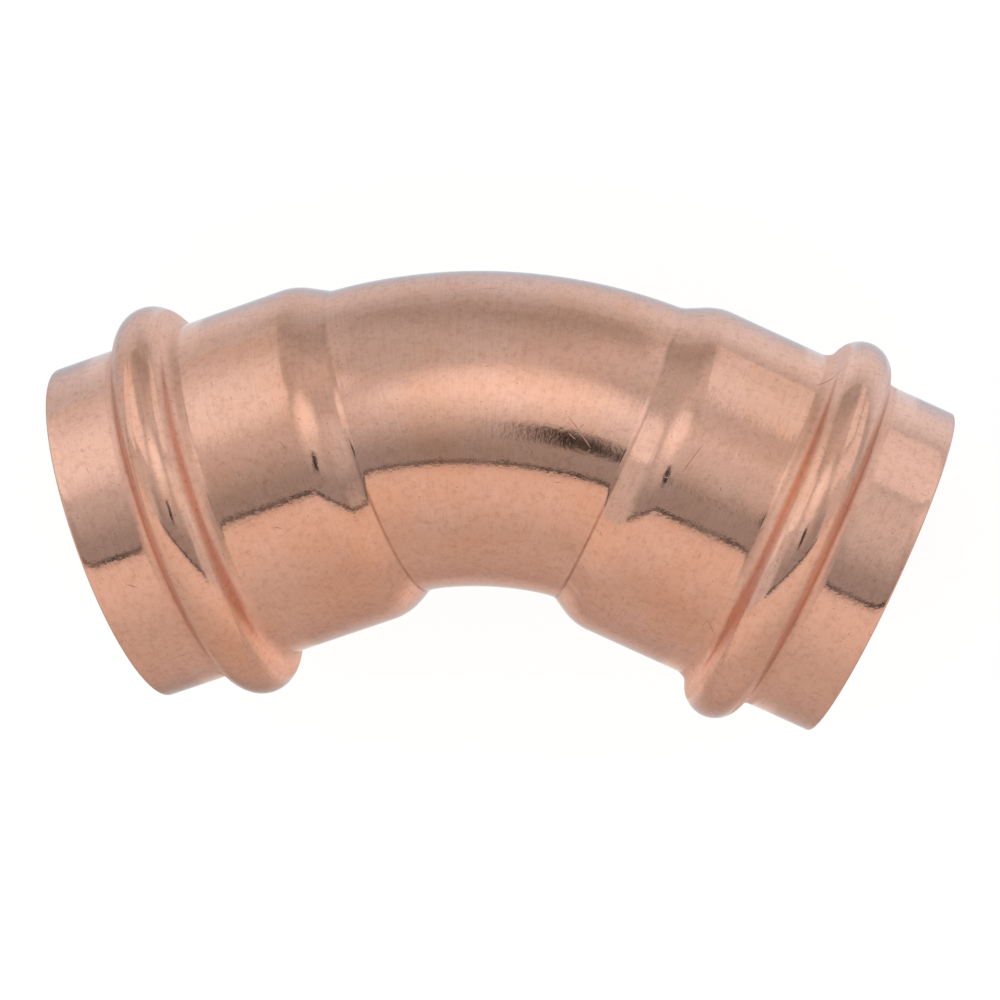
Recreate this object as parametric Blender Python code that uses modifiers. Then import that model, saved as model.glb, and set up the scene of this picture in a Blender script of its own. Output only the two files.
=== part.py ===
"""Copper press elbow of 45 degrees for 41.28 mm tube: one formed copper body and two rubber seals.

The bend plane lies flat, at the height of half a bead. +X runs along the chord from socket to
socket, +Y to the outside of the bend, +Z up, with the origin under the middle of the whole part.
"""

import math

import bmesh
import bpy
from mathutils import Matrix, Vector

# Driving dimensions, in metres and degrees
TUBE_OD = 0.04128  # outside of the tube that slides into each socket
TUBE_PLAY = 0.00032  # slack of that tube in the socket bore, on the diameter
WALL = 0.0015  # copper wall, even all over the formed body
BEND_ANGLE = 45.0  # turn from one socket axis to the other
BEND_RADIUS = 0.0525  # centre line of the bent middle, from crease to crease
TUBE_STOP = 0.0021  # step from the socket down to the bent middle, which stops the tube
CENTRE_TO_END = 0.0535  # crossing of the two socket axes to a rim
SOCKET_LENGTH = 0.0370  # rim to the crease at the foot of the taper
TAPER_ANGLE = 28.0  # slope of the taper that stops the tube
CREASE_FILLET = 0.0060  # hollow rounding of the crease, outside
SHOULDER_RADIUS = 0.0075  # rounding where the taper runs out into the socket
BEAD_OD = 0.0523  # crest of the bead that holds the seal
BEAD_RADIUS = 0.0037  # rounding of the bead's section, outside
BEAD_FROM_RIM = 0.0132  # rim to the middle of the bead
BEAD_FILLET_OUT = 0.0012  # hollow at the foot of the bead towards the rim, outside
BEAD_FILLET_IN = 0.0020  # hollow at the foot of the bead towards the bend, outside
RIM_ROUND = 0.0003  # broken edges of the rim
SEAL_CLEARANCE = 0.0003  # seal to the groove inside the bead, all round its section
WELD = 0.00001  # corners nearer than this are one

# Finishes, as linear colours
COPPER_COLOUR = (0.60, 0.30, 0.19)
RUBBER_COLOUR = (0.012, 0.012, 0.013)

# Facets
AROUND = 40  # steps round a socket, a multiple of four so that the widest points are corners
BEND_STEPS = 5  # rings from a crease to the middle of the bend
BEAD_STEPS = 4  # from a foot of the bead to its crest
FILLET_STEPS = 3
CREASE_STEPS = 3
SHOULDER_STEPS = 4
SEAL_SIDES = 12
RIM_STEPS = 2
SMOOTH_BELOW = 24.0  # edges that turn less than this are shaded round
RIM_EDGE_ABOVE = 60.0  # only the rims turn more sharply than this

# Sizes that follow from the driving ones
HALF_ANGLE = math.radians(BEND_ANGLE) / 2
TAPER = math.radians(TAPER_ANGLE)
SOCKET_RADIUS = (TUBE_OD + TUBE_PLAY) / 2 + WALL
BEND_TUBE_RADIUS = SOCKET_RADIUS - TUBE_STOP
CREASE_FROM_CORNER = CENTRE_TO_END - SOCKET_LENGTH
BEAD_FROM_CORNER = CENTRE_TO_END - BEAD_FROM_RIM
BEAD_CENTRE_RADIUS = BEAD_OD / 2 - BEAD_RADIUS
SEAL_SECTION_RADIUS = BEAD_RADIUS - WALL - SEAL_CLEARANCE

# The bent middle is an arc through both crease centres. It turns less than the sockets do,
# and the creases take up the rest.
ARC_HALF_ANGLE = math.asin(CREASE_FROM_CORNER * math.cos(HALF_ANGLE) / BEND_RADIUS)
ARC_CENTRE_Y = -CREASE_FROM_CORNER * math.sin(HALF_ANGLE) - BEND_RADIUS * math.cos(ARC_HALF_ANGLE)

# The corner, where the socket axes cross, is placed so that the part stands centred on the origin.
BEND_TOP = ARC_CENTRE_Y + BEND_RADIUS + BEND_TUBE_RADIUS
RIM_BOTTOM = -CENTRE_TO_END * math.sin(HALF_ANGLE) - SOCKET_RADIUS * math.cos(HALF_ANGLE)
CORNER = Vector((0.0, -(BEND_TOP + RIM_BOTTOM) / 2, BEAD_OD / 2))


def clear_scene():
    for thing in list(bpy.data.objects):
        bpy.data.objects.remove(thing, do_unlink=True)


def make_material(name, colour, roughness, metallic):
    material = bpy.data.materials.new(name)
    material.use_nodes = True
    shader = material.node_tree.nodes["Principled BSDF"]
    shader.inputs["Base Color"].default_value = (*colour, 1.0)
    shader.inputs["Roughness"].default_value = roughness
    shader.inputs["Metallic"].default_value = metallic
    return material


def arc(centre, radius, start, end, steps):
    """Points of an arc in the socket's half section, from angle start to angle end."""
    turns = [start + (end - start) * step / steps for step in range(steps + 1)]
    return [(centre[0] + radius * math.cos(turn), centre[1] + radius * math.sin(turn)) for turn in turns]


def bead_foot(fillet):
    """Reach and lean from the bead's centre to the centre of the hollow at one of its feet."""
    rise = SOCKET_RADIUS + fillet - BEAD_CENTRE_RADIUS
    reach = math.sqrt((BEAD_RADIUS + fillet) ** 2 - rise**2)
    return reach, math.atan2(rise, reach)


def socket_outline():
    """Outside of one socket as points (along the axis, from the axis), rim first, crease last."""
    out_reach, out_lean = bead_foot(BEAD_FILLET_OUT)
    in_reach, in_lean = bead_foot(BEAD_FILLET_IN)
    down = 1.5 * math.pi
    crest = math.pi / 2

    outer_foot = (BEAD_FROM_CORNER + out_reach, SOCKET_RADIUS + BEAD_FILLET_OUT)
    bead = (BEAD_FROM_CORNER, BEAD_CENTRE_RADIUS)
    inner_foot = (BEAD_FROM_CORNER - in_reach, SOCKET_RADIUS + BEAD_FILLET_IN)

    drop = SOCKET_RADIUS - BEND_TUBE_RADIUS
    shoulder_radius = min(SHOULDER_RADIUS, drop / (1 - math.cos(TAPER)))
    straight_drop = drop - shoulder_radius * (1 - math.cos(TAPER))
    shoulder_end = CREASE_FROM_CORNER + straight_drop / math.tan(TAPER)
    shoulder = (shoulder_end + shoulder_radius * math.sin(TAPER), SOCKET_RADIUS - shoulder_radius)

    outline = [(CENTRE_TO_END, SOCKET_RADIUS)]
    outline += arc(outer_foot, BEAD_FILLET_OUT, down, math.pi + out_lean, FILLET_STEPS)
    outline += arc(bead, BEAD_RADIUS, out_lean, crest, BEAD_STEPS)[1:]
    outline += arc(bead, BEAD_RADIUS, crest, math.pi - in_lean, BEAD_STEPS)[1:]
    outline += arc(inner_foot, BEAD_FILLET_IN, 2 * math.pi - in_lean, down, FILLET_STEPS)[1:]
    outline += arc(shoulder, shoulder_radius, math.pi / 2, math.pi / 2 + TAPER, SHOULDER_STEPS)
    outline.append((CREASE_FROM_CORNER, BEND_TUBE_RADIUS))
    return outline


def bend_centre(share):
    """Centre of a ring of the bend, from share 1 at the crease to 0 at the middle."""
    turn = ARC_HALF_ANGLE * share
    return Vector((BEND_RADIUS * math.sin(turn), ARC_CENTRE_Y + BEND_RADIUS * math.cos(turn), 0.0))


def revolve_socket(bm):
    """Turn the outline about the socket axis and return the edges of the crease."""
    corners = [bm.verts.new((along, out, 0.0)) for along, out in socket_outline()]
    chain = [bm.edges.new(pair) for pair in zip(corners, corners[1:])]
    bmesh.ops.spin(
        bm, geom=corners + chain, cent=(0, 0, 0), axis=(1, 0, 0), angle=2 * math.pi, steps=AROUND
    )
    bmesh.ops.remove_doubles(bm, verts=bm.verts, dist=WELD)
    middle = (CENTRE_TO_END + CREASE_FROM_CORNER) / 2
    crease = [edge for edge in bm.edges if edge.is_boundary and edge.verts[0].co.x < middle]
    bmesh.ops.rotate(bm, verts=bm.verts, cent=(0, 0, 0), matrix=Matrix.Rotation(-HALF_ANGLE, 3, "Z"))
    return crease


def sweep_bend(bm, ring):
    """Carry the crease along the arc to the middle, turning it evenly into the mirror plane."""
    turn = Matrix.Rotation(HALF_ANGLE / BEND_STEPS, 3, "Z")
    for step in range(BEND_STEPS):
        here = bend_centre(1 - step / BEND_STEPS)
        there = bend_centre(1 - (step + 1) / BEND_STEPS)
        made = bmesh.ops.extrude_edge_only(bm, edges=ring)["geom"]
        corners = [item for item in made if isinstance(item, bmesh.types.BMVert)]
        bmesh.ops.rotate(bm, verts=corners, cent=here, matrix=turn)
        bmesh.ops.translate(bm, verts=corners, vec=there - here)
        ring = [item for item in made if isinstance(item, bmesh.types.BMEdge) and item.is_boundary]


def round_crease(bm, crease):
    """Round the hollow between taper and bend, which the forming die leaves smooth."""
    bmesh.ops.bevel(
        bm,
        geom=crease,
        offset=CREASE_FILLET * math.tan(TAPER / 2),
        offset_type="OFFSET",
        segments=CREASE_STEPS,
        profile=0.5,
        affect="EDGES",
        clamp_overlap=True,
    )


def make_body(material):
    """The copper body: the outside of one half, mirrored, given its wall, with the rims broken."""
    bm = bmesh.new()
    crease = revolve_socket(bm)
    sweep_bend(bm, crease)
    round_crease(bm, crease)
    bmesh.ops.recalc_face_normals(bm, faces=bm.faces)
    mesh = bpy.data.meshes.new("elbow_body")
    bm.to_mesh(mesh)
    bm.free()
    mesh.shade_smooth()
    mesh.set_sharp_from_angle(angle=math.radians(SMOOTH_BELOW))
    mesh.materials.append(material)
    body = bpy.data.objects.new("elbow_body", mesh)

    mirror = body.modifiers.new("other_half", "MIRROR")
    mirror.merge_threshold = WELD

    wall = body.modifiers.new("copper_wall", "SOLIDIFY")
    wall.thickness = WALL
    wall.offset = -1.0
    wall.use_even_offset = True
    wall.use_quality_normals = True

    rim = body.modifiers.new("broken_rim", "BEVEL")
    rim.width = RIM_ROUND
    rim.segments = RIM_STEPS
    rim.limit_method = "ANGLE"
    rim.angle_limit = math.radians(RIM_EDGE_ABOVE)
    return body


def make_seal(name, heading, material):
    """A round rubber ring in the groove of the bead whose socket points along heading."""
    bpy.ops.mesh.primitive_torus_add(
        major_segments=AROUND,
        minor_segments=SEAL_SIDES,
        major_radius=BEAD_CENTRE_RADIUS,
        minor_radius=SEAL_SECTION_RADIUS,
    )
    seal = bpy.context.object
    seal.name = name
    seal.data.name = name
    seal.data.shade_smooth()
    seal.data.materials.append(material)
    seal.location = BEAD_FROM_CORNER * Vector((math.cos(heading), math.sin(heading), 0.0))
    seal.rotation_euler = (0.0, math.pi / 2, heading)
    return seal


def main():
    clear_scene()
    copper = make_material("formed_copper", COPPER_COLOUR, roughness=0.3, metallic=1.0)
    rubber = make_material("seal_rubber", RUBBER_COLOUR, roughness=0.5, metallic=0.0)

    group = bpy.data.collections.new("press_elbow")
    bpy.context.scene.collection.children.link(group)
    corner = bpy.data.objects.new("axis_crossing", None)
    corner.location = CORNER
    group.objects.link(corner)

    parts = [
        make_body(copper),
        make_seal("seal_right", -HALF_ANGLE, rubber),
        make_seal("seal_left", math.pi + HALF_ANGLE, rubber),
    ]
    for part in parts:
        for home in list(part.users_collection):
            home.objects.unlink(part)
        group.objects.link(part)
        part.parent = corner


main()
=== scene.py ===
# %% [markdown]
# # A copper press elbow
# The part is a 45 degree elbow for copper water pipe. A plain tube is bent, both of its ends are
# opened into sockets, and a round bead is rolled into each socket to hold a rubber seal. A fitter
# pushes a pipe into each end and squeezes the beads with a pressing tool.
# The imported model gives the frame: three solids at their real size. This file leaves their places
# alone and makes their finished surfaces, the light around them and the camera.

import math

import bmesh
import bpy
from mathutils import Euler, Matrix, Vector


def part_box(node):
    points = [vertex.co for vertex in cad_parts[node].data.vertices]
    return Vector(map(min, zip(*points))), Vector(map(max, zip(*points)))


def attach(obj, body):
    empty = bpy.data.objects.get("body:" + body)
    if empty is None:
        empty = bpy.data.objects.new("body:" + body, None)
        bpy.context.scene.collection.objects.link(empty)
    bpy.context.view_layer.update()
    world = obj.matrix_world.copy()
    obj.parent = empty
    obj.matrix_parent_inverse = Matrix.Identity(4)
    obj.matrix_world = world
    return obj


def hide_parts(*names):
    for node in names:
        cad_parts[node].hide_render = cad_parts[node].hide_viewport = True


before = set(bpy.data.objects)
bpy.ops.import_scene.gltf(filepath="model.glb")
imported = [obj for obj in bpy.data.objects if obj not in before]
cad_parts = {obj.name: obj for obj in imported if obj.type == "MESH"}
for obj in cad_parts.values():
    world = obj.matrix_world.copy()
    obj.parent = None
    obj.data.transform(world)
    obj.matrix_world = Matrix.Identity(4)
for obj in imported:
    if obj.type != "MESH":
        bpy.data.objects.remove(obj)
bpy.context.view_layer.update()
print("nodes:", sorted(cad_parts))

# %% [markdown]
# ## Sizes
# Everything is worked out from the sizes that drive the real fitting: the pipe it takes, its wall, and
# where bend, taper and bead lie. Lengths are written in millimetres and turned to metres once.

# %% Driving sizes
MM = 0.001

TUBE_OD = 41.28 * MM  # pipe that slides into a socket
TUBE_PLAY = 0.32 * MM  # slack of that pipe in the bore, on the diameter
WALL = 1.5 * MM
HALF_ANGLE = math.radians(45.0 / 2)  # each socket leans this far from the chord
BEND_RADIUS = 52.5 * MM
TUBE_STOP = 2.1 * MM  # step from the socket down to the bent middle, which stops the pipe
CENTRE_TO_END = 53.5 * MM  # crossing of the socket axes to a rim
SOCKET_LENGTH = 37.0 * MM
TAPER = math.radians(28.0)
CREASE_FILLET = 2.0 * MM  # hollow rounding between taper and bend
SHOULDER_RADIUS = 7.5 * MM
BEAD_OD = 52.3 * MM
BEAD_RADIUS = 3.7 * MM
BEAD_FROM_RIM = 13.2 * MM
BEAD_FILLET_OUT = 1.2 * MM  # foot of the bead towards the rim
BEAD_FILLET_IN = 2.0 * MM  # foot towards the bend, where the roller leaves the wall rounder
RIM_ROUND = 0.3 * MM
SEAL_CLEARANCE = 0.3 * MM

SOCKET_RADIUS = (TUBE_OD + TUBE_PLAY) / 2 + WALL
BEND_TUBE_RADIUS = SOCKET_RADIUS - TUBE_STOP
CREASE_FROM_CORNER = CENTRE_TO_END - SOCKET_LENGTH
BEAD_FROM_CORNER = CENTRE_TO_END - BEAD_FROM_RIM
BEAD_CENTRE_RADIUS = BEAD_OD / 2 - BEAD_RADIUS
SEAL_SECTION = BEAD_RADIUS - WALL - SEAL_CLEARANCE

body_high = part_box("elbow_body")[1]
ARC_HALF_ANGLE = math.asin(CREASE_FROM_CORNER * math.cos(HALF_ANGLE) / BEND_RADIUS)
BEND_CENTRE_Y = -CREASE_FROM_CORNER * math.sin(HALF_ANGLE) - BEND_RADIUS * math.cos(ARC_HALF_ANGLE)
CORNER = Vector((0.0, body_high.y - BEND_CENTRE_Y - BEND_RADIUS - BEND_TUBE_RADIUS, BEAD_OD / 2))
print("socket axes cross at, in mm:", [round(v / MM, 3) for v in CORNER])

# %% [markdown]
# ## Three small helpers
# Colours are written as the hex values a colour picker shows, and Blender wants them linear. One function
# adds any node, sets it and links it, so that a node tree reads as a list of steps. The last one turns
# an object with live modifiers into a plain mesh.


# %% Helpers
def srgb(hex_colour):
    """A hex colour as Blender's linear colour."""
    shares = [int(hex_colour[start : start + 2], 16) / 255 for start in (1, 3, 5)]
    linear = [s / 12.92 if s <= 0.04045 else ((s + 0.055) / 1.055) ** 2.4 for s in shares]
    return (*linear, 1.0)


def add(tree, kind, inputs=None, **settings):
    """Add a node. Inputs, by name or number, take a plain value, a socket or a node's first output."""
    node = tree.nodes.new(kind)
    for name, value in settings.items():
        setattr(node, name, value)
    for key, value in (inputs or {}).items():
        if isinstance(value, bpy.types.Node):
            value = value.outputs[0]
        if isinstance(value, bpy.types.NodeSocket):
            tree.links.new(value, node.inputs[key])
        else:
            node.inputs[key].default_value = value
    return node


def make_plain(piece):
    """Bake the piece's modifiers into a plain mesh whose faces point outwards."""
    graph = bpy.context.evaluated_depsgraph_get()
    mesh = bpy.data.meshes.new_from_object(piece.evaluated_get(graph), depsgraph=graph)
    piece.modifiers.clear()
    piece.data = mesh
    mesh.name = piece.name
    solid = bmesh.new()
    solid.from_mesh(mesh)
    bmesh.ops.recalc_face_normals(solid, faces=solid.faces)
    solid.to_mesh(mesh)
    loose = sum(1 for edge in solid.edges if not edge.is_manifold)
    solid.free()
    mesh.shade_smooth()
    mesh.calc_loop_triangles()
    print(f"{piece.name}: {len(mesh.loop_triangles)} triangles, {loose} open edges")


print("helpers made:", [helper.__name__ for helper in (srgb, add, make_plain)])

# %% [markdown]
# ## The section of the wall
# Cut the elbow along its axis and the wall is a thin band: flat at the rim, over the bead, along the
# socket, down the taper, and level through the bend. The outer and the inner line are the same arcs
# about the same centres, with radii that differ by the wall, so one function draws both. Straight runs get
# points about a millimetre apart, because the bend and the small waves below move every point.

# %% Points along arcs and straight runs
RUN_STEP = 1.0 * MM


def arc(centre, radius, start, end, steps):
    turns = [start + (end - start) * step / steps for step in range(steps + 1)]
    return [(centre[0] + radius * math.cos(turn), centre[1] + radius * math.sin(turn)) for turn in turns]


def run(start, end):
    """Points between two places on a straight run, without its ends."""
    count = max(1, round(math.dist(start, end) / RUN_STEP))
    shares = [step / count for step in range(1, count)]
    return [tuple(a + (b - a) * share for a, b in zip(start, end)) for share in shares]


def bead_foot(fillet):
    """How far a foot's rounding lies from the bead's middle, and the lean at which the two meet."""
    rise = SOCKET_RADIUS + fillet - BEAD_CENTRE_RADIUS
    reach = math.sqrt((BEAD_RADIUS + fillet) ** 2 - rise**2)
    return reach, math.atan2(rise, reach)


feet = [bead_foot(fillet)[0] for fillet in (BEAD_FILLET_OUT, BEAD_FILLET_IN)]
print("roundings of the bead's feet, mm from its middle:", [round(reach / MM, 2) for reach in feet])

# %% One line of the wall
BEND_STEPS = 16


def half_line(inward):
    """One line of the wall from a rim to the middle of the bend, as (along the axis, from the axis)."""
    socket = SOCKET_RADIUS - inward
    tube = BEND_TUBE_RADIUS - inward
    side = -1 if inward else 1
    down = 1.5 * math.pi

    bead = (BEAD_FROM_CORNER, BEAD_CENTRE_RADIUS)
    reach_out, lean_out = bead_foot(BEAD_FILLET_OUT)
    reach_in, lean_in = bead_foot(BEAD_FILLET_IN)
    foot_out = (BEAD_FROM_CORNER + reach_out, SOCKET_RADIUS + BEAD_FILLET_OUT)
    foot_in = (BEAD_FROM_CORNER - reach_in, SOCKET_RADIUS + BEAD_FILLET_IN)

    drop = SOCKET_RADIUS - BEND_TUBE_RADIUS - SHOULDER_RADIUS * (1 - math.cos(TAPER))
    shoulder_end = CREASE_FROM_CORNER + drop / math.tan(TAPER)
    shoulder = (shoulder_end + SHOULDER_RADIUS * math.sin(TAPER), SOCKET_RADIUS - SHOULDER_RADIUS)
    hollow = (CREASE_FROM_CORNER - CREASE_FILLET * math.tan(TAPER / 2), BEND_TUBE_RADIUS + CREASE_FILLET)

    rim = (CENTRE_TO_END - RIM_ROUND, socket - side * RIM_ROUND)
    stretches = [
        arc(rim, RIM_ROUND, 0, side * math.pi / 2, 4),
        arc(foot_out, BEAD_FILLET_OUT + inward, down, math.pi + lean_out, 10),
        arc(bead, BEAD_RADIUS - inward, lean_out, math.pi - lean_in, 36)[1:-1],
        arc(foot_in, BEAD_FILLET_IN + inward, 2 * math.pi - lean_in, down, 12),
        arc(shoulder, SHOULDER_RADIUS - inward, math.pi / 2, math.pi / 2 + TAPER, 14),
        arc(hollow, CREASE_FILLET + inward, down + TAPER, down, 12),
    ]
    line = []
    for stretch in stretches:
        if line:
            line += run(line[-1], stretch[0])
        line += stretch
    start = line[-1][0]
    return line + [(start * (1 - step / BEND_STEPS), tube) for step in range(1, BEND_STEPS + 1)]


print("points from a rim to the middle of the bend:", len(half_line(0.0)))


# %% The closed section
def whole_section():
    """The closed band of the wall: outside from right to left, then inside from left to right."""
    outside, inside = half_line(0.0), half_line(WALL)
    outside_left, inside_left = ([(-along, out) for along, out in line] for line in (outside, inside))
    outer = outside + outside_left[-2::-1]
    inner = inside_left + inside[-2::-1]
    return outer, inner


outer_line, inner_line = whole_section()
corners = [(along, out, 0.0) for along, out in outer_line + inner_line]
edges = [(index, (index + 1) % len(corners)) for index in range(len(corners))]
section_mesh = bpy.data.meshes.new("formed_elbow")
section_mesh.from_pydata(corners, edges, [])
inner_wall = section_mesh.attributes.new("inner_wall", "FLOAT", "POINT")
inner_wall.data.foreach_set("value", [0.0] * len(outer_line) + [1.0] * len(inner_line))
elbow = bpy.data.objects.new("formed_elbow", section_mesh)
bpy.context.scene.collection.objects.link(elbow)
print("points in the section of the wall:", len(corners))

# %% [markdown]
# ## The finish of the copper
# The tube is drawn, annealed, formed in dies and left bare. That gives bright satin copper: clean mirror
# images seen from afar, broken up close by a grain left by annealing, by fine hairlines that run round the
# tube from brushing, by a few handling scratches and by brown specks. Tarnish shifts the pink towards
# orange in soft clouds, though hardly on the guides beyond the beads, which the rollers rub bright. Along
# each crease runs a thin brown line of painted shade, darkest on the inside of the bend. The two feet of a
# bead are drawn dull, as if the roller had scuffed them, and the wall around it is drawn rubbed bright. The
# bore, which no brush reaches, is duller too.
# Patterns that follow the tube are drawn on a flat map of it, with millimetres along and around. The map
# is made below, together with the bend. Clouds and grain use Object coordinates.

# %% Satin formed copper
COPPER_PALE = "#FAC6B1"
COPPER_WARM = "#F6BB9F"
CLOUD_SIZE = 11.0  # soft patches of tarnish, in millimetres
GUIDE_TARNISH = 0.2  # share of it that is left on the guides beyond the beads
PER_METRE = 1000.0  # patterns per metre for a pattern of one millimetre

copper = bpy.data.materials.new("copper_drawn_formed_satin")
copper.use_nodes = True
tree = copper.node_tree
shader = tree.nodes["Principled BSDF"]
shader.inputs["Metallic"].default_value = 1.0

place = add(tree, "ShaderNodeTexCoord").outputs["Object"]
tube_map = add(tree, "ShaderNodeAttribute", attribute_name="tube_map").outputs["Vector"]
inside = add(tree, "ShaderNodeAttribute", attribute_name="inner_wall").outputs["Fac"]
flat = add(tree, "ShaderNodeVectorMath", {0: tube_map, "Scale": PER_METRE}, operation="SCALE")
along = add(tree, "ShaderNodeSeparateXYZ", {0: flat}).outputs["X"]
from_middle = add(tree, "ShaderNodeMath", {0: along}, operation="ABSOLUTE")
bead_end = (BEAD_FROM_CORNER + BEAD_RADIUS) / MM

cloud = add(
    tree,
    "ShaderNodeTexNoise",
    {"Vector": place, "Scale": PER_METRE / CLOUD_SIZE, "Detail": 7.0, "Roughness": 0.72},
)
cloud_share = add(tree, "ShaderNodeMapRange", {0: cloud, 1: 0.38, 2: 0.64})
rubbed = add(
    tree,
    "ShaderNodeMapRange",
    {0: from_middle, 1: bead_end - 1, 2: bead_end + 2, 3: 1.0, 4: GUIDE_TARNISH},
)
cloud_share = add(tree, "ShaderNodeMath", {0: cloud_share, 1: rubbed}, operation="MULTIPLY")
colour = add(
    tree,
    "ShaderNodeMix",
    {0: cloud_share, 6: srgb(COPPER_PALE), 7: srgb(COPPER_WARM)},
    data_type="RGBA",
).outputs[2]
print("copper clouds, mm:", CLOUD_SIZE)

# %% [markdown]
# Specks and scratches come from the same trick. A Voronoi texture cuts the flat map into cells and gives
# each a centre and a random colour. Distance from the centre makes a speck. Turning the cell by a random
# angle and keeping a thin band along it makes a scratch. The random colour leaves about half the cells
# empty.

# %% Specks and scratches
SPECK_CELL = 3.0  # millimetres
SPECK_RADIUS = 0.11
SPECK_EMPTY = 0.62  # share of the cells left without a speck

cells = add(
    tree,
    "ShaderNodeTexVoronoi",
    {"Vector": flat, "Scale": 1 / SPECK_CELL},
    voronoi_dimensions="2D",
)
lot = add(tree, "ShaderNodeSeparateColor", {0: cells.outputs["Color"]})
chosen = add(tree, "ShaderNodeMath", {0: lot.outputs[0], 1: SPECK_EMPTY}, operation="GREATER_THAN")
speck_round = SPECK_RADIUS / SPECK_CELL
speck = add(
    tree,
    "ShaderNodeMapRange",
    {0: cells.outputs["Distance"], 1: speck_round, 2: speck_round * 0.4},
)
speck = add(tree, "ShaderNodeMath", {0: speck, 1: chosen}, operation="MULTIPLY")

SCRATCHES = [
    # cell, longest half length and half width in millimetres, share of cells left empty
    (12.0, 3.0, 0.08, 0.50),
    (6.0, 0.9, 0.06, 0.40),
    (3.5, 0.5, 0.05, 0.60),
]
scratch = None
for cell, half_length, half_width, empty in SCRATCHES:
    cells = add(tree, "ShaderNodeTexVoronoi", {"Vector": flat, "Scale": 1 / cell}, voronoi_dimensions="2D")
    lot = add(tree, "ShaderNodeSeparateColor", {0: cells.outputs["Color"]})
    from_centre = add(
        tree, "ShaderNodeVectorMath", {0: flat, 1: cells.outputs["Position"]}, operation="SUBTRACT"
    )
    angle = add(tree, "ShaderNodeMath", {0: lot.outputs[1], 1: 2 * math.pi}, operation="MULTIPLY")
    turned = add(
        tree, "ShaderNodeVectorRotate", {"Vector": from_centre, "Angle": angle}, rotation_type="Z_AXIS"
    )
    across = add(tree, "ShaderNodeVectorMath", {0: turned}, operation="ABSOLUTE")
    sides = add(tree, "ShaderNodeSeparateXYZ", {0: across})
    end = add(tree, "ShaderNodeMath", {0: lot.outputs[2], 1: half_length}, operation="MULTIPLY")
    fade = add(tree, "ShaderNodeMath", {0: end, 1: 0.5}, operation="MULTIPLY")
    length = add(tree, "ShaderNodeMapRange", {0: sides.outputs[0], 1: end, 2: fade})
    width = add(tree, "ShaderNodeMapRange", {0: sides.outputs[1], 1: half_width, 2: 0.0})
    depth = add(tree, "ShaderNodeMapRange", {0: lot.outputs[0], 1: empty, 2: 1.0})
    mark = add(tree, "ShaderNodeMath", {0: length, 1: width}, operation="MULTIPLY")
    mark = add(tree, "ShaderNodeMath", {0: mark, 1: depth}, operation="MULTIPLY")
    if scratch:
        mark = add(tree, "ShaderNodeMath", {0: mark, 1: scratch}, operation="MAXIMUM")
    scratch = mark
print("layers of scratches:", len(SCRATCHES))

# %% [markdown]
# The crease line, the pits and the rubbed places are masks as well. Each is a distance along the map, or a
# noise, turned into a share from 0 to 1 by Map Range.

# %% Crease line, pits and hairlines
CREASE_HALF_WIDTH = 0.3  # the line that the edge of the die leaves in the crease, in millimetres
CREASE_SHADE_PATCH = 5.0  # the painted shade in that line thins out in patches of this size
PIT_SIZE = 0.9  # groups of tiny etched pits, drawn coarse to show
HAIRLINE_SPACING = 0.18  # brushed hairlines, drawn wide apart to show
HAIRLINE_LENGTH = 5.0

from_crease = add(
    tree, "ShaderNodeMath", {0: from_middle, 1: CREASE_FROM_CORNER / MM}, operation="SUBTRACT"
)
from_crease = add(tree, "ShaderNodeMath", {0: from_crease}, operation="ABSOLUTE")
crease_line = add(tree, "ShaderNodeMapRange", {0: from_crease, 1: CREASE_HALF_WIDTH, 2: 0.0})
# Painted shade: a thin brown line along the crease, in patches and darkest on the inside of the bend, stands
# in for the shade in the crease's groove.
patchy = add(tree, "ShaderNodeTexNoise", {"Vector": place, "Scale": PER_METRE / CREASE_SHADE_PATCH, "Detail": 3.0})
crease_shade = add(tree, "ShaderNodeMapRange", {0: patchy, 1: 0.3, 2: 0.65, 3: 0.25, 4: 1.0})
crease_shade = add(tree, "ShaderNodeMath", {0: crease_shade, 1: crease_line}, operation="MULTIPLY")
across_bend = add(tree, "ShaderNodeSeparateXYZ", {0: place}).outputs["Y"]
inner_side = add(tree, "ShaderNodeMapRange", {0: across_bend, 1: 20 * MM, 2: 0.0, 3: 0.2, 4: 1.0})
crease_shade = add(tree, "ShaderNodeMath", {0: crease_shade, 1: inner_side}, operation="MULTIPLY")
pits = add(
    tree,
    "ShaderNodeTexNoise",
    {"Vector": place, "Scale": PER_METRE / PIT_SIZE, "Detail": 5.0, "Roughness": 0.75},
)
pits = add(tree, "ShaderNodeMapRange", {0: pits, 1: 0.48, 2: 0.8})
stretch = add(
    tree,
    "ShaderNodeMapping",
    {"Vector": flat, "Scale": (1 / HAIRLINE_SPACING, 1 / HAIRLINE_LENGTH, 1.0)},
)
hairline = add(
    tree, "ShaderNodeTexNoise", {"Vector": stretch, "Scale": 1.0, "Detail": 2.0}, noise_dimensions="2D"
)
brushed = add(tree, "ShaderNodeMapRange", {0: hairline, 1: 0.45, 2: 0.8})
print("crease line, mm wide:", 2 * CREASE_HALF_WIDTH)

# %% [markdown]
# Next to a bead the wall looks different: its two feet are dull, and mirror images beside them are paler.
# That could be done with more materials. Bands on the map do it within one, and they fade out softly.

# %% Marks of the roller round a bead
COPPER_EDGE = "#C8D4DC"  # tint of mirror images at a grazing angle
RUBBED_EDGE = "#E0E8EC"  # the same round the beads, where the wall is rubbed bright
FOOT_IN = BEAD_FROM_CORNER - 3.9 * MM
FOOT_OUT = BEAD_FROM_CORNER + 3.8 * MM
SCUFF_CORE, SCUFF_END = 0.9, 1.5  # half widths of a scuffed band in millimetres, where it is full and gone
RUBBED_FROM_BEAD = 5.0  # middle of the rubbed band on either side of a bead
RUBBED_CORE, RUBBED_END = 2.0, 3.5

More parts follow.
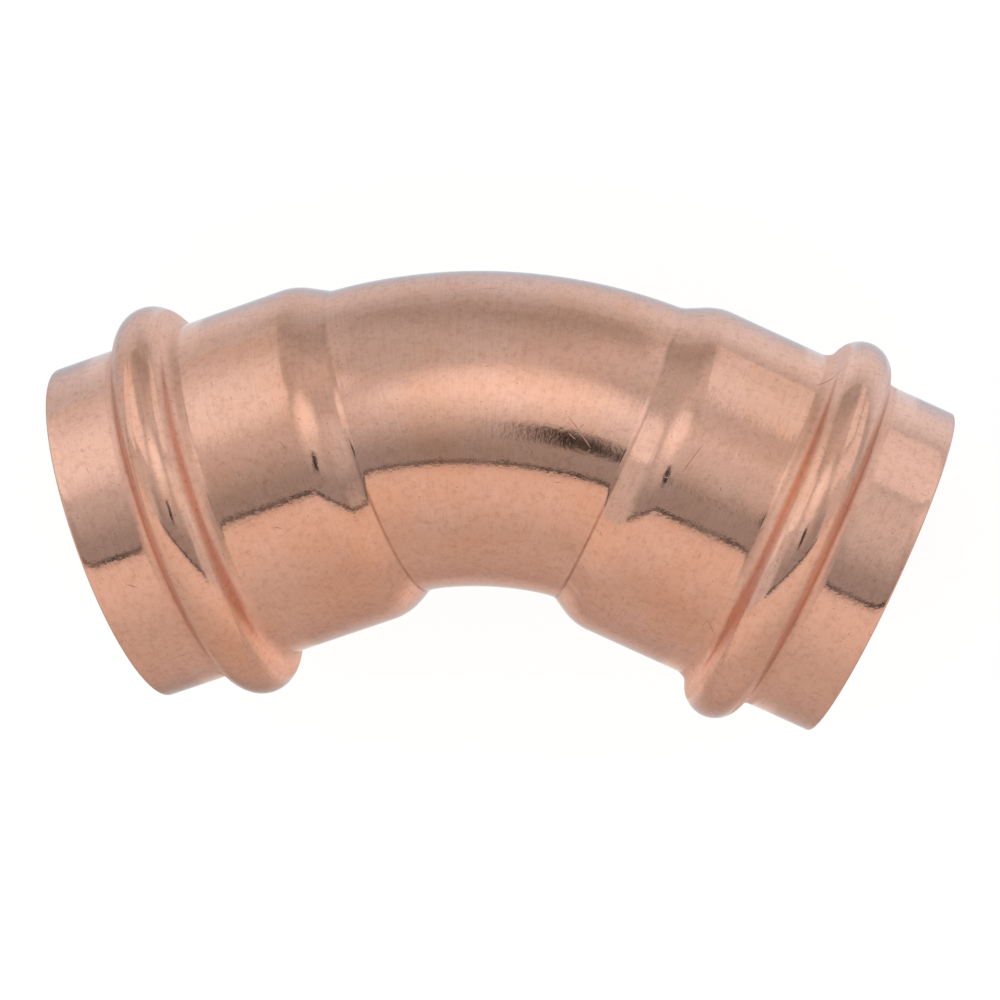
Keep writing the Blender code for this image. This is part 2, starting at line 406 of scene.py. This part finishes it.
scuffed = None
for foot in (FOOT_IN, FOOT_OUT):
    off_foot = add(tree, "ShaderNodeMath", {0: from_middle, 1: foot / MM}, operation="SUBTRACT")
    off_foot = add(tree, "ShaderNodeMath", {0: off_foot}, operation="ABSOLUTE")
    mark = add(
        tree,
        "ShaderNodeMapRange",
        {0: off_foot, 1: SCUFF_END, 2: SCUFF_CORE},
        interpolation_type="SMOOTHSTEP",
    )
    if scuffed:
        mark = add(tree, "ShaderNodeMath", {0: mark, 1: scuffed}, operation="MAXIMUM")
    scuffed = mark

off_bead = add(tree, "ShaderNodeMath", {0: from_middle, 1: BEAD_FROM_CORNER / MM}, operation="SUBTRACT")
off_bead = add(tree, "ShaderNodeMath", {0: off_bead}, operation="ABSOLUTE")
off_feet = add(tree, "ShaderNodeMath", {0: off_bead, 1: RUBBED_FROM_BEAD}, operation="SUBTRACT")
off_feet = add(tree, "ShaderNodeMath", {0: off_feet}, operation="ABSOLUTE")
unrubbed = add(
    tree, "ShaderNodeMapRange", {0: off_feet, 1: RUBBED_CORE, 2: RUBBED_END}, interpolation_type="SMOOTHSTEP"
)
edge = add(
    tree, "ShaderNodeMix", {0: unrubbed, 6: srgb(RUBBED_EDGE), 7: srgb(COPPER_EDGE)}, data_type="RGBA"
).outputs[2]
tree.links.new(edge, shader.inputs["Specular Tint"])
print("feet of the bead, mm from the corner:", [round(foot / MM, 1) for foot in (FOOT_IN, FOOT_OUT)])

# %% [markdown]
# Now the masks are put to use. Each brown mark and the painted shade along the crease is mixed over the
# colour so far by its mask, like a glaze, and the bore, the feet of the beads and the scratches add to the
# roughness.

# %% Colour and gloss
PIT_BROWN = "#B98871"
SPECK_BROWN = "#8A5A48"
# brown of the painted shade along the crease
CREASE_SHADE_BROWN = "#9C6650"
BORE_BROWN = "#C58D73"
SMEAR_SIZE = 4.0  # wiped patches that shine a little more or less, in millimetres
BRIGHTEST, DULLEST = 0.08, 0.13  # roughness of the satin wall
BORE_DULLER = 0.22  # added to the roughness in the bore, at the feet of a bead and in a scratch
FOOT_DULLER = 0.3
SCRATCH_DULLER = 0.15

stains_and_shade = [
    (pits, PIT_BROWN, 0.55),
    (brushed, PIT_BROWN, 0.18),
    (speck, SPECK_BROWN, 0.6),
    (scratch, SPECK_BROWN, 0.8),
    # painted shade along the crease
    (crease_shade, CREASE_SHADE_BROWN, 0.8),
    (inside, BORE_BROWN, 1.0),
]
for mask, overlay_hex, strength in stains_and_shade:
    share = add(tree, "ShaderNodeMath", {0: mask, 1: strength}, operation="MULTIPLY")
    colour = add(
        tree, "ShaderNodeMix", {0: share, 6: colour, 7: srgb(overlay_hex)}, data_type="RGBA"
    ).outputs[2]
tree.links.new(colour, shader.inputs["Base Color"])

smear = add(tree, "ShaderNodeTexNoise", {"Vector": place, "Scale": PER_METRE / SMEAR_SIZE, "Detail": 3.0})
rough = add(tree, "ShaderNodeMapRange", {0: smear, 1: 0.3, 2: 0.7, 3: BRIGHTEST, 4: DULLEST})
rough = add(tree, "ShaderNodeMath", {0: inside, 1: BORE_DULLER, 2: rough}, operation="MULTIPLY_ADD")
rough = add(tree, "ShaderNodeMath", {0: scuffed, 1: FOOT_DULLER, 2: rough}, operation="MULTIPLY_ADD")
rough = add(tree, "ShaderNodeMath", {0: scratch, 1: SCRATCH_DULLER, 2: rough}, operation="MULTIPLY_ADD")
tree.links.new(rough.outputs[0], shader.inputs["Roughness"])
print("copper stains:", len(stains_and_shade))

# %% [markdown]
# The grain, the hairlines, the scratches and the crease line are relief, so they go through Bump nodes. A
# Bump node takes a height and the distance that height stands for: thousandths of a millimetre here, which is
# all that it takes to break the edge of a mirror image into a fuzzy line.

# %% Relief of the copper
GRAIN_SIZE = 0.5  # orange peel of the annealed skin in millimetres, drawn coarse to show
GRAIN_HEIGHT = 0.009 * MM
HAIRLINE_HEIGHT = 0.002 * MM
SCRATCH_DEPTH = 0.012 * MM
CREASE_DEPTH = 0.008 * MM

grain = add(tree, "ShaderNodeTexNoise", {"Vector": place, "Scale": PER_METRE / GRAIN_SIZE, "Detail": 2.0})
heights = [
    (grain, GRAIN_HEIGHT, False),
    (hairline, HAIRLINE_HEIGHT, False),
    (scratch, SCRATCH_DEPTH, True),
    (crease_line, CREASE_DEPTH, True),
]
relief = None
for height, distance, sunk in heights:
    bump = add(tree, "ShaderNodeBump", {"Height": height, "Distance": distance}, invert=sunk)
    if relief:
        tree.links.new(relief.outputs[0], bump.inputs["Normal"])
    relief = bump
tree.links.new(relief.outputs[0], shader.inputs["Normal"])
print("copper relief, micrometres:", [round(distance / MM * 1000, 1) for _, distance, _ in heights])

# %% [markdown]
# ## Turn it straight, then bend it
# The real fitting starts as a straight tube, and so does this one. A Screw modifier turns the section about
# the axis, which gives the sockets and beads. A Geometry Nodes tree then carries each ring of that
# straight tube to its place on the bend: rings between the creases lean a little more each step and
# follow an arc, and rings beyond a crease run out along the socket's axis. The tree also lays out the
# flat map, and it presses very shallow waves into the wall, because formed copper is never quite true.
# Curve to Mesh could sweep a ring instead, but it knows no bead and no wall.


# %% A geometry tree with named inputs
def open_tree(name, sizes):
    """A geometry tree with geometry in and out and a named input for each size."""
    tree = bpy.data.node_groups.new(name, "GeometryNodeTree")
    tree.interface.new_socket("Geometry", in_out="OUTPUT", socket_type="NodeSocketGeometry")
    tree.interface.new_socket("Geometry", in_out="INPUT", socket_type="NodeSocketGeometry")
    for size, kind in sizes.items():
        tree.interface.new_socket(size, in_out="INPUT", socket_type=f"NodeSocket{kind}")
    return tree, add(tree, "NodeGroupInput").outputs


def use_tree(piece, tree, values):
    """Put the tree on a piece, each input set by its identifier."""
    modifier = piece.modifiers.new(tree.name, "NODES")
    modifier.node_group = tree
    for item in tree.interface.items_tree:
        if item.name in values:
            modifier[item.identifier] = values[item.name]


bend_tree, size = open_tree(
    "bend_the_tube",
    {
        "Half Angle": "Float",
        "Arc Half Angle": "Float",
        "Bend Radius": "Float",
        "Bend Centre": "Vector",
        "Crease From Corner": "Float",
        "Crease Blend": "Float",
        "Map Radius": "Float",
        "Wave Height": "Float",
        "Waves Per Metre": "Float",
        "Finish": "Material",
    },
)
straight = add(bend_tree, "ShaderNodeSeparateXYZ", {0: add(bend_tree, "GeometryNodeInputPosition")}).outputs
print("inputs of the bend:", len(size) - 1)

# %% The flat map of the tube
turn = add(bend_tree, "ShaderNodeMath", {0: straight["Y"], 1: straight["Z"]}, operation="ARCTAN2")
face_turn = add(bend_tree, "GeometryNodeFieldOnDomain", {0: turn}, domain="FACE")
past_face = add(bend_tree, "ShaderNodeMath", {0: turn, 1: face_turn}, operation="SUBTRACT")
past_face = add(bend_tree, "ShaderNodeMath", {0: past_face, 1: -math.pi, 2: math.pi}, operation="WRAP")
turn = add(bend_tree, "ShaderNodeMath", {0: face_turn, 1: past_face}, operation="ADD")
round_way = add(bend_tree, "ShaderNodeMath", {0: turn, 1: size["Map Radius"]}, operation="MULTIPLY")
flat_place = add(bend_tree, "ShaderNodeCombineXYZ", {0: straight["X"], 1: round_way})
mapped = add(
    bend_tree,
    "GeometryNodeStoreNamedAttribute",
    {"Geometry": size["Geometry"], "Name": "tube_map", "Value": flat_place},
    data_type="FLOAT2",
    domain="CORNER",
)
print("the map's seam lies on the underside")

# %% The bend
CREASE_BLEND = 4.0 * MM  # socket and bend run into each other over this length

side = add(bend_tree, "ShaderNodeMath", {0: straight["X"]}, operation="SIGN")
reach = add(bend_tree, "ShaderNodeMath", {0: straight["X"]}, operation="ABSOLUTE")
bent_reach = add(
    bend_tree,
    "ShaderNodeMath",
    {0: reach, 1: size["Crease From Corner"], 2: size["Crease Blend"]},
    operation="SMOOTH_MIN",
)
beyond = add(bend_tree, "ShaderNodeMath", {0: reach, 1: bent_reach}, operation="SUBTRACT")
share = add(bend_tree, "ShaderNodeMath", {0: bent_reach, 1: size["Crease From Corner"]}, operation="DIVIDE")
back = add(bend_tree, "ShaderNodeMath", {0: share, 1: -1.0}, operation="MULTIPLY")
ring_lean = add(bend_tree, "ShaderNodeMath", {0: back, 1: size["Half Angle"]}, operation="MULTIPLY")
arc_turn = add(bend_tree, "ShaderNodeMath", {0: back, 1: size["Arc Half Angle"]}, operation="MULTIPLY")
ring = add(bend_tree, "ShaderNodeCombineXYZ", {0: beyond, 1: straight["Y"], 2: straight["Z"]})
ring = add(bend_tree, "ShaderNodeVectorRotate", {"Vector": ring, "Angle": ring_lean}, rotation_type="Z_AXIS")
spoke = add(bend_tree, "ShaderNodeCombineXYZ", {1: size["Bend Radius"]})
spoke = add(bend_tree, "ShaderNodeVectorRotate", {"Vector": spoke, "Angle": arc_turn}, rotation_type="Z_AXIS")
bent = add(bend_tree, "ShaderNodeVectorMath", {0: ring, 1: spoke}, operation="ADD")
mirror = add(bend_tree, "ShaderNodeCombineXYZ", {0: side, 1: 1.0, 2: 1.0})
bent = add(bend_tree, "ShaderNodeVectorMath", {0: bent, 1: mirror}, operation="MULTIPLY")
bent = add(bend_tree, "ShaderNodeVectorMath", {0: bent, 1: size["Bend Centre"]}, operation="ADD")
bent_tube = add(bend_tree, "GeometryNodeSetPosition", {"Geometry": mapped, "Position": bent})
print("nodes so far:", len(bend_tree.nodes))

# %% Shallow waves, finish and the plain mesh
WAVE_HEIGHT = 0.06 * MM
WAVE_SIZE = 16.0 * MM
AROUND = 180  # points round the tube

waves = add(
    bend_tree,
    "ShaderNodeTexNoise",
    {
        "Vector": add(bend_tree, "GeometryNodeInputPosition"),
        "Scale": size["Waves Per Metre"],
        "Detail": 1.0,
    },
)
hollow = add(bend_tree, "ShaderNodeMath", {0: waves, 1: -1.0}, operation="ADD")
hollow = add(bend_tree, "ShaderNodeMath", {0: hollow, 1: size["Wave Height"]}, operation="MULTIPLY")
press = add(
    bend_tree,
    "ShaderNodeVectorMath",
    {0: add(bend_tree, "GeometryNodeInputNormal"), "Scale": hollow},
    operation="SCALE",
)
waved = add(bend_tree, "GeometryNodeSetPosition", {"Geometry": bent_tube, "Offset": press})
real = add(bend_tree, "GeometryNodeRealizeInstances", {"Geometry": waved})
finished = add(bend_tree, "GeometryNodeSetMaterial", {"Geometry": real, "Material": size["Finish"]})
add(bend_tree, "NodeGroupOutput", {0: finished})

screw = elbow.modifiers.new("turned_straight", "SCREW")
screw.axis = "X"
screw.steps = AROUND
screw.render_steps = AROUND
screw.use_merge_vertices = True
screw.merge_threshold = 0.001 * MM
screw.use_normal_calculate = True

use_tree(
    elbow,
    bend_tree,
    {
        "Half Angle": HALF_ANGLE,
        "Arc Half Angle": ARC_HALF_ANGLE,
        "Bend Radius": BEND_RADIUS,
        "Bend Centre": CORNER + Vector((0.0, BEND_CENTRE_Y, 0.0)),
        "Crease From Corner": CREASE_FROM_CORNER,
        "Crease Blend": CREASE_BLEND,
        "Map Radius": SOCKET_RADIUS,
        "Wave Height": WAVE_HEIGHT,
        "Waves Per Metre": 1 / WAVE_SIZE,
        "Finish": copper,
    },
)
make_plain(elbow)
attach(elbow, "root")
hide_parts("elbow_body")

# %% [markdown]
# ## The rubber
# The seals are moulded from EPDM, a black rubber. It is nearly black with a grey bloom, its skin copies the
# fine blasted texture of the mould, and a film of assembly grease makes patches of it shine.

# %% Moulded black rubber
RUBBER_BLACK = "#17171A"
RUBBER_BLOOM = "#2A2A2C"
MOULD_GRIT = 0.12  # blasted texture of the mould, in millimetres
GRIT_HEIGHT = 0.004 * MM
FILM_PATCH = 3.0  # patches of the film of assembly grease

rubber = bpy.data.materials.new("epdm_rubber_moulded")
rubber.use_nodes = True
tree = rubber.node_tree
shader = tree.nodes["Principled BSDF"]
shader.inputs["IOR"].default_value = 1.5
place = add(tree, "ShaderNodeTexCoord").outputs["Object"]
patch = add(tree, "ShaderNodeTexNoise", {"Vector": place, "Scale": PER_METRE / FILM_PATCH, "Detail": 3.0})
bloom = add(
    tree,
    "ShaderNodeMix",
    {0: patch, 6: srgb(RUBBER_BLACK), 7: srgb(RUBBER_BLOOM)},
    data_type="RGBA",
).outputs[2]
tree.links.new(bloom, shader.inputs["Base Color"])
shine = add(tree, "ShaderNodeMapRange", {0: patch, 1: 0.35, 2: 0.65, 3: 0.28, 4: 0.55})
tree.links.new(shine.outputs[0], shader.inputs["Roughness"])
grit = add(tree, "ShaderNodeTexNoise", {"Vector": place, "Scale": PER_METRE / MOULD_GRIT, "Detail": 2.0})
skin = add(tree, "ShaderNodeBump", {"Height": grit, "Distance": GRIT_HEIGHT})
tree.links.new(skin.outputs[0], shader.inputs["Normal"])
print("rubber grit, mm:", MOULD_GRIT)

# %% [markdown]
# ## The seals
# A seal is a round cord of rubber closed into a ring, so its shape follows a path: Curve to Mesh
# sweeps a small circle along a large one. Where the halves of the mould met, the
# rubber keeps a fine flash line along the middle of the ring. One tree makes both seals and takes the place
# and heading of each as inputs.

# %% A tree that sweeps a seal
FLASH_HEIGHT = 0.05 * MM
FLASH_HALF_WIDTH = 0.3 * MM
SECTION_SIDES = 48

seal_tree, size = open_tree(
    "sweep_a_seal",
    {
        "Ring Radius": "Float",
        "Section Radius": "Float",
        "Flash Height": "Float",
        "Flash Half Width": "Float",
        "Place": "Vector",
        "Turn": "Vector",
        "Finish": "Material",
    },
)
path = add(
    seal_tree,
    "GeometryNodeCurvePrimitiveCircle",
    {"Resolution": AROUND, "Radius": size["Ring Radius"]},
)
section = add(
    seal_tree,
    "GeometryNodeCurvePrimitiveCircle",
    {"Resolution": SECTION_SIDES, "Radius": size["Section Radius"]},
)
swept = add(seal_tree, "GeometryNodeCurveToMesh", {"Curve": path, "Profile Curve": section})
height = add(seal_tree, "GeometryNodeInputPosition")
height = add(seal_tree, "ShaderNodeSeparateXYZ", {0: height}).outputs["Z"]
height = add(seal_tree, "ShaderNodeMath", {0: height}, operation="ABSOLUTE")
flash = add(
    seal_tree,
    "ShaderNodeMapRange",
    {0: height, 1: size["Flash Half Width"], 2: 0.0, 3: 0.0, 4: size["Flash Height"]},
)
raised = add(
    seal_tree,
    "ShaderNodeVectorMath",
    {0: add(seal_tree, "GeometryNodeInputNormal"), "Scale": flash.outputs[0]},
    operation="SCALE",
)
flashed = add(seal_tree, "GeometryNodeSetPosition", {"Geometry": swept, "Offset": raised})
placed = add(
    seal_tree,
    "GeometryNodeTransform",
    {"Geometry": flashed, "Translation": size["Place"], "Rotation": size["Turn"]},
)
real = add(seal_tree, "GeometryNodeRealizeInstances", {"Geometry": placed})
finished = add(seal_tree, "GeometryNodeSetMaterial", {"Geometry": real, "Material": size["Finish"]})
add(seal_tree, "NodeGroupOutput", {0: finished})
print("inputs of a seal:", len(size) - 1)

# %% Sweep the two seals
for name, node, heading in (
    ("rubber_seal_right", "seal_right", -HALF_ANGLE),
    ("rubber_seal_left", "seal_left", math.pi + HALF_ANGLE),
):
    seal = bpy.data.objects.new(name, bpy.data.meshes.new(name))
    bpy.context.scene.collection.objects.link(seal)
    outward = Vector((math.cos(heading), math.sin(heading), 0.0))
    use_tree(
        seal,
        seal_tree,
        {
            "Ring Radius": BEAD_CENTRE_RADIUS,
            "Section Radius": SEAL_SECTION,
            "Flash Height": FLASH_HEIGHT,
            "Flash Half Width": FLASH_HALF_WIDTH,
            "Place": CORNER + BEAD_FROM_CORNER * outward,
            "Turn": Vector((0.0, math.pi / 2, heading)),
            "Finish": rubber,
        },
    )
    make_plain(seal)
    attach(seal, "root")
    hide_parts(node)

# %% [markdown]
# ## Panels of light
# Polished metal shows its surroundings more than its own colour, so the light is a photographer's tent made
# of soft-edged panels. A panel has a middle, a half width and a half height on a flat chart, a lean that
# narrows it towards the top, a softness and a level. Panels are laid over each other like sheets of paper.
# The same function serves the world, charted in degrees, and the floor, charted in millimetres.


# %% Lay panels on a chart
def lay_panels(tree, right, top, level, panels):
    """Lay panels over a plain level. Gives the level at each place, and the mask of each panel."""
    masks = {}
    for what, middle_right, middle_top, half_width, half_height, lean, softness, panel_level in panels:
        off_right = add(tree, "ShaderNodeMath", {0: right, 1: middle_right}, operation="SUBTRACT")
        off_right = add(tree, "ShaderNodeMath", {0: off_right}, operation="ABSOLUTE")
        off_top = add(tree, "ShaderNodeMath", {0: top, 1: middle_top}, operation="SUBTRACT")
        leaned = add(tree, "ShaderNodeMath", {0: off_top, 1: lean, 2: off_right}, operation="MULTIPLY_ADD")
        off_top = add(tree, "ShaderNodeMath", {0: off_top}, operation="ABSOLUTE")
        mask = 1.0
        for off, half in ((leaned, half_width), (off_top, half_height)):
            edge = add(
                tree,
                "ShaderNodeMapRange",
                {0: off, 1: half + softness, 2: half - softness},
                interpolation_type="SMOOTHSTEP",
            )
            mask = add(tree, "ShaderNodeMath", {0: edge, 1: mask}, operation="MULTIPLY")
        masks[what] = mask
        level = add(tree, "ShaderNodeMix", {0: mask, 2: level, 3: panel_level}, data_type="FLOAT")
    return level, masks


print("helper made:", lay_panels.__name__)

# %% [markdown]
# ## The floor
# The elbow lies on a sheet of paper. Light Path lets the camera see that sheet as plain white without putting
# more light on the part. Mirror images see it as a lit sheet: white near the part and grey further out, a
# shade cool on the side of the walls and warm on the side of the table. They also see past its far end into
# the tent. A share of plain diffuse paper is left in, and that share takes the shadow.

# %% Pale floor
FLOOR_SIZE = 6.0
FLOOR_WHITE = 0.87  # on top of the diffuse share, which adds about 0.17
FLOOR_GREY = 0.40
SHEET_END = 79.0  # millimetres behind the middle of the part
COOL_FROM = 25.0  # the sheet turns from cool to warm between these two places, in millimetres
WARM_FROM = -35.0
PAPER = "#8F8F8F"
PLAIN_WHITE = "#FFFFFF"
SHEET_COOL = "#EAF6FF"
SHEET_WARM = "#FFF0E6"
FLOOR_PANELS = [
    # what it is, right, top, half width and half height in millimetres, lean, softness, level
    ("left of the part", -154.0, 27.0, 94.0, 112.0, 0.0, 10.0, 0.56),
    ("right of the part", 60.0, 0.0, 60.0, 60.0, 0.0, 50.0, 0.86),
    ("close to the part", -3.0, -1.0, 68.0, 48.0, 0.0, 26.0, 1.0),
]

floor_mesh = bpy.data.meshes.new("floor")
paper_sheet = bmesh.new()
bmesh.ops.create_grid(paper_sheet, x_segments=1, y_segments=1, size=FLOOR_SIZE / 2)
paper_sheet.to_mesh(floor_mesh)
paper_sheet.free()
floor = bpy.data.objects.new("floor", floor_mesh)
bpy.context.scene.collection.objects.link(floor)
print("floor, metres across:", FLOOR_SIZE)

# %% Finish of the sheet
paper = bpy.data.materials.new("paper_matt_white")
paper.use_nodes = True
tree = paper.node_tree
tree.nodes.clear()
place = add(tree, "ShaderNodeTexCoord").outputs["Object"]
chart = add(tree, "ShaderNodeVectorMath", {0: place, "Scale": PER_METRE}, operation="SCALE")
right, top = add(tree, "ShaderNodeSeparateXYZ", {0: chart}).outputs[:2]
level, _ = lay_panels(tree, right, top, FLOOR_GREY, FLOOR_PANELS)
table_side = add(
    tree, "ShaderNodeMapRange", {0: top, 1: COOL_FROM, 2: WARM_FROM}, interpolation_type="SMOOTHSTEP"
)
tint = add(
    tree, "ShaderNodeMix", {0: table_side, 6: srgb(SHEET_COOL), 7: srgb(SHEET_WARM)}, data_type="RGBA"
).outputs[2]
ray = add(tree, "ShaderNodeLightPath").outputs
straight_on = add(
    tree, "ShaderNodeMath", {0: ray["Is Camera Ray"], 1: ray["Is Transmission Ray"]}, operation="MAXIMUM"
)
mirrored = add(tree, "ShaderNodeMath", {0: level, 1: ray["Is Glossy Ray"]}, operation="MULTIPLY")
glow = add(tree, "ShaderNodeMix", {0: straight_on, 2: mirrored, 3: FLOOR_WHITE}, data_type="FLOAT")
tint = add(
    tree, "ShaderNodeMix", {0: straight_on, 6: tint, 7: srgb(PLAIN_WHITE)}, data_type="RGBA"
).outputs[2]
lit = add(tree, "ShaderNodeEmission", {"Color": tint, "Strength": glow})
matt = add(tree, "ShaderNodeBsdfDiffuse", {"Color": srgb(PAPER)})
both = add(tree, "ShaderNodeAddShader", {0: lit, 1: matt})
past_end = add(tree, "ShaderNodeMath", {0: top, 1: SHEET_END}, operation="GREATER_THAN")
past_end = add(tree, "ShaderNodeMath", {0: past_end, 1: ray["Is Glossy Ray"]}, operation="MULTIPLY")
clear = add(tree, "ShaderNodeBsdfTransparent")
sheet = add(tree, "ShaderNodeMixShader", {0: past_end, 1: both, 2: clear})
add(tree, "ShaderNodeOutputMaterial", {"Surface": sheet})
floor_mesh.materials.append(paper)
print("panels on the floor:", len(FLOOR_PANELS))

# %% [markdown]
# ## The tent
# The world draws the rest of the tent: a bright table on one side with a dark edge, white walls, a dim
# opening that the camera looks through, a lamp above that opening, and the camera's own dark lens. A
# direction becomes two angles, away from straight up to the right and to the top. All of it is nearly
# grey, at a plain level, so that the colours of the part stay the colours written above.

# %% A tent of soft panels
WALL_LEVEL = 0.63
WALL_TINT = "#FDFFFF"  # white cloth
TABLE_TINT = "#FFF4EA"  # wood, a shade warm
PANELS = [
    # what it is, right, top, half width and half height in degrees, lean, softness, level
    ("table", 0.0, -100.5, 180.0, 89.5, 0.0, 1.0, 0.77),
    ("table far", 0.0, -130.0, 180.0, 84.5, 0.0, 24.0, 0.58),
    ("left wall, near end", -80.0, 47.0, 11.0, 30.0, 0.0, 3.0, 0.86),
    ("right wall, near end", 80.0, 47.0, 11.0, 30.0, 0.0, 3.0, 0.82),
    ("left wall", -48.0, 69.5, 20.5, 38.5, -0.05, 1.0, 0.94),
    ("left wall, top", -52.5, 93.5, 24.0, 14.5, -0.3, 21.5, 0.56),
    ("right wall", 43.5, 40.5, 41.5, 12.0, 0.35, 6.0, 0.83),
    ("right wall, top", 47.0, 92.0, 13.5, 32.0, 0.0, 0.5, 0.85),
    ("ceiling", -18.0, 103.5, 38.0, 46.5, -0.45, 7.0, 0.54),
    ("ceiling, far", -4.5, 107.5, 48.0, 8.0, 0.25, 16.5, 0.40),
    ("opening", 1.0, 34.0, 31.5, 32.0, 0.35, 13.0, 0.33),
    ("opening, foot", 6.0, 2.0, 42.5, 12.0, 0.0, 6.0, 0.35),
    ("lamp skirt", 1.0, 48.5, 18.0, 10.5, 0.35, 8.0, 0.88),
    ("lamp", -2.0, 44.5, 19.0, 21.5, 0.35, 24.0, 1.05),
    ("table edge", 6.0, -8.7, 48.0, 1.3, 0.0, 0.5, 0.04),
    ("lens", 3.0, 15.0, 4.0, 6.5, 0.0, 3.0, 0.02),
]

world = bpy.data.worlds.new("photo_tent")
bpy.context.scene.world = world
world.use_nodes = True
tree = world.node_tree
tree.nodes.clear()
direction = add(tree, "ShaderNodeTexCoord").outputs["Generated"]
parts = add(tree, "ShaderNodeSeparateXYZ", {0: direction}).outputs
from_up = add(tree, "ShaderNodeMath", {0: parts["Z"]}, operation="ARCCOSINE")
from_up = add(tree, "ShaderNodeMath", {0: from_up}, operation="DEGREES")
sideways = add(tree, "ShaderNodeCombineXYZ", {0: parts["X"], 1: parts["Y"]})
sideways = add(tree, "ShaderNodeVectorMath", {0: sideways}, operation="NORMALIZE")
chart = add(tree, "ShaderNodeVectorMath", {0: sideways, "Scale": from_up}, operation="SCALE")
right, top = add(tree, "ShaderNodeSeparateXYZ", {0: chart}).outputs[:2]
level, masks = lay_panels(tree, right, top, WALL_LEVEL, PANELS)
tint = add(
    tree,
    "ShaderNodeMix",
    {0: masks["table"], 6: srgb(WALL_TINT), 7: srgb(TABLE_TINT)},
    data_type="RGBA",
).outputs[2]
backdrop = add(tree, "ShaderNodeBackground", {"Color": tint, "Strength": level})
add(tree, "ShaderNodeOutputWorld", {"Surface": backdrop})
print("panels in the tent:", len(PANELS))

# %% [markdown]
# ## The camera
# A long lens from above, a little to the top and right of the bend, with a slight roll. The angles turn a
# camera that at first looks straight down with +Y up in the picture.

# %% Camera
LENS = 191.46  # millimetres, on a sensor 36 mm wide
AIM = Vector((0.34, -1.0, 26.15)) * MM
DISTANCE = 682.2 * MM
CAMERA_TURN = (-16.051, 4.590, 1.755)  # degrees about X, Y and Z

camera_data = bpy.data.cameras.new("camera")
camera_data.lens = LENS
camera_data.sensor_width = 36.0
camera = bpy.data.objects.new("camera", camera_data)
bpy.context.scene.collection.objects.link(camera)
turn = Euler([math.radians(angle) for angle in CAMERA_TURN], "XYZ")
camera.rotation_euler = turn
camera.location = AIM + turn.to_matrix() @ Vector((0.0, 0.0, DISTANCE))
bpy.context.scene.camera = camera
bpy.context.scene.view_settings.view_transform = "Standard"
print("camera stands at, mm:", [round(v / MM, 1) for v in camera.location])
